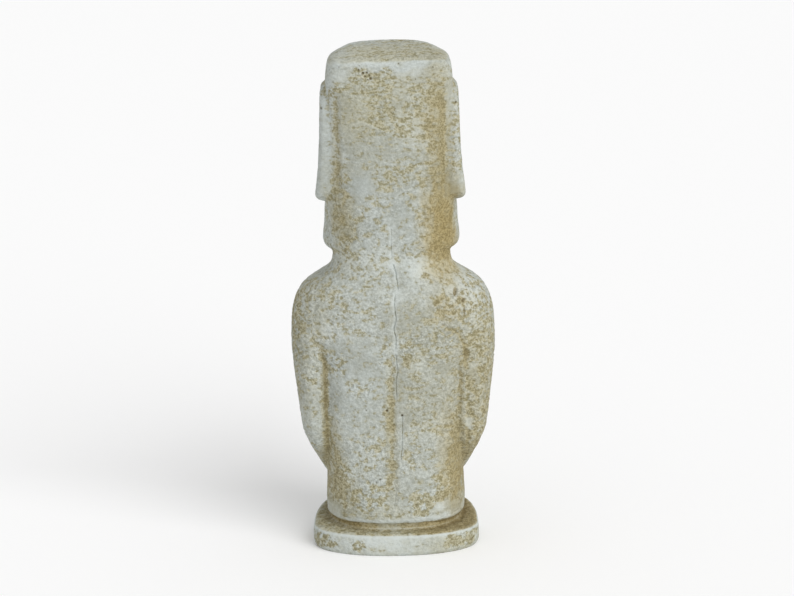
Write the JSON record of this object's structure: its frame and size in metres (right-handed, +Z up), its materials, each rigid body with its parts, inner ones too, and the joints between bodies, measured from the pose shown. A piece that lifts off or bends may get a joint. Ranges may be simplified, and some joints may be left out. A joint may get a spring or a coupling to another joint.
{
  "type": "moai statue",
  "caption": "Garden moai cast in stone: long flat-backed head with ribbed ears, sloping shoulders, arms at the sides and hands on the belly, on a low oval plinth",
  "frame": {"origin": "middle of the underside of the plinth, on the ground", "axes": "+Z up, the figure faces -Y, its back is towards +Y and its left arm is at +X"},
  "size_m": [0.1832, 0.142, 0.45],
  "materials": {
    "cast_stone": "matte cast stone, pale grey with a wiped ochre stain in its hollows"
  },
  "bodies": {
    "root": {"moai": "cast_stone"}
  },
  "joints": []
}
